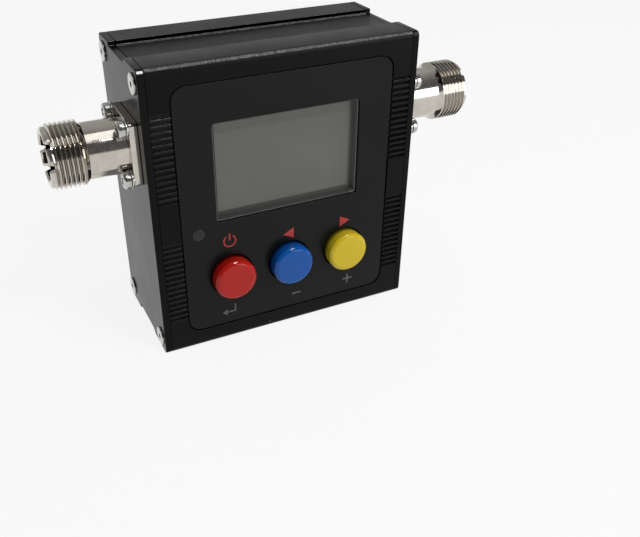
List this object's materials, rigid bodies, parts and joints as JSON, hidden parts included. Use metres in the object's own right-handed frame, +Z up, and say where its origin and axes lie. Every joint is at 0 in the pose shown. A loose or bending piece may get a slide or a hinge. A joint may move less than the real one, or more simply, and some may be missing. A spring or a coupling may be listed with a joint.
{
  "type": "swr meter",
  "caption": "Pocket radio power meter: an upright metal case with a display and push buttons on the front and a threaded coaxial socket on each end.",
  "frame": {"origin": "middle of the floor area that the meter covers, on the surface that it stands on", "axes": "+X to the right of someone facing the display, along the line of the two sockets, +Y from the front to the back, +Z up"},
  "size_m": [0.1232, 0.0408, 0.084],
  "materials": {
    "powder_coat": "fine-textured satin black coat",
    "plate_coat": "satin black coat",
    "screw_steel": "nickel-plated steel",
    "nickel": "bright nickel plate",
    "ptfe": "waxy white",
    "contact_metal": "plated",
    "panel_gloss": "glossy black",
    "display_film": "satin grey film",
    "display_glass": "dark glass border, opaque where seen",
    "diffuser": "white diffuser",
    "flex": "amber film",
    "led_lens": "smoked lens",
    "circuit_board": "green solder mask",
    "copper": "bare copper",
    "tinplate": "tinned sheet",
    "black_plastic": "moulded black",
    "red_cap": "satin gloss red",
    "blue_cap": "satin gloss blue",
    "yellow_cap": "satin gloss yellow",
    "battery_foil": "laminated foil",
    "foam": "closed-cell foam"
  },
  "bodies": {
    "case": {"front_shell": "powder_coat", "rear_shell": "powder_coat", "left_end_plate": "plate_coat", "right_end_plate": "plate_coat", "left_plate_screw_front_upper": "screw_steel", "left_flange_screw_front_upper": "screw_steel", "left_plate_screw_rear_upper": "screw_steel", "left_flange_screw_rear_upper": "screw_steel", "left_plate_screw_front_lower": "screw_steel", "left_flange_screw_front_lower": "screw_steel", "left_plate_screw_rear_lower": "screw_steel", "left_flange_screw_rear_lower": "screw_steel", "left_socket_shell": "nickel", "left_socket_insulator": "ptfe", "left_centre_contact": "contact_metal", "right_plate_screw_front_upper": "screw_steel", "right_flange_screw_front_upper": "screw_steel", "right_plate_screw_rear_upper": "screw_steel", "right_flange_screw_rear_upper": "screw_steel", "right_plate_screw_front_lower": "screw_steel", "right_flange_screw_front_lower": "screw_steel", "right_plate_screw_rear_lower": "screw_steel", "right_flange_screw_rear_lower": "screw_steel", "right_socket_shell": "nickel", "right_socket_insulator": "ptfe", "right_centre_contact": "contact_metal", "front_panel": "panel_gloss", "display_polariser": "display_film", "display_glass": "display_glass", "display_backlight": "diffuser", "display_flex": "flex", "status_led": "led_lens", "main_board": "circuit_board", "coupler_board": "circuit_board", "board_screw_1": "screw_steel", "board_screw_2": "screw_steel", "board_screw_3": "screw_steel", "board_screw_4": "screw_steel", "coupler_line": "copper", "coupler_shield": "tinplate", "charging_inlet": "tinplate", "left_board_spacer": "contact_metal", "right_board_spacer": "contact_metal", "board_header": "black_plastic", "red_switch_body": "black_plastic", "red_switch_dome": "tinplate", "blue_switch_body": "black_plastic", "blue_switch_dome": "tinplate", "yellow_switch_body": "black_plastic", "yellow_switch_dome": "tinplate", "battery": "battery_foil", "battery_pad": "foam"},
    "red_button": {"red_button_cap": "red_cap", "red_switch_plunger": "black_plastic"},
    "blue_button": {"blue_button_cap": "blue_cap", "blue_switch_plunger": "black_plastic"},
    "yellow_button": {"yellow_button_cap": "yellow_cap", "yellow_switch_plunger": "black_plastic"}
  },
  "joints": [
    {"name": "red_button_press", "type": "slide", "parent": "case", "child": "red_button", "axis": [0, 1, 0], "range_m": [0, 0.0003], "stiffness_N_per_m": 5000, "springref_m": -0.0001},
    {"name": "blue_button_press", "type": "slide", "parent": "case", "child": "blue_button", "axis": [0, 1, 0], "range_m": [0, 0.0003], "stiffness_N_per_m": 5000, "springref_m": -0.0001},
    {"name": "yellow_button_press", "type": "slide", "parent": "case", "child": "yellow_button", "axis": [0, 1, 0], "range_m": [0, 0.0003], "stiffness_N_per_m": 5000, "springref_m": -0.0001}
  ]
}
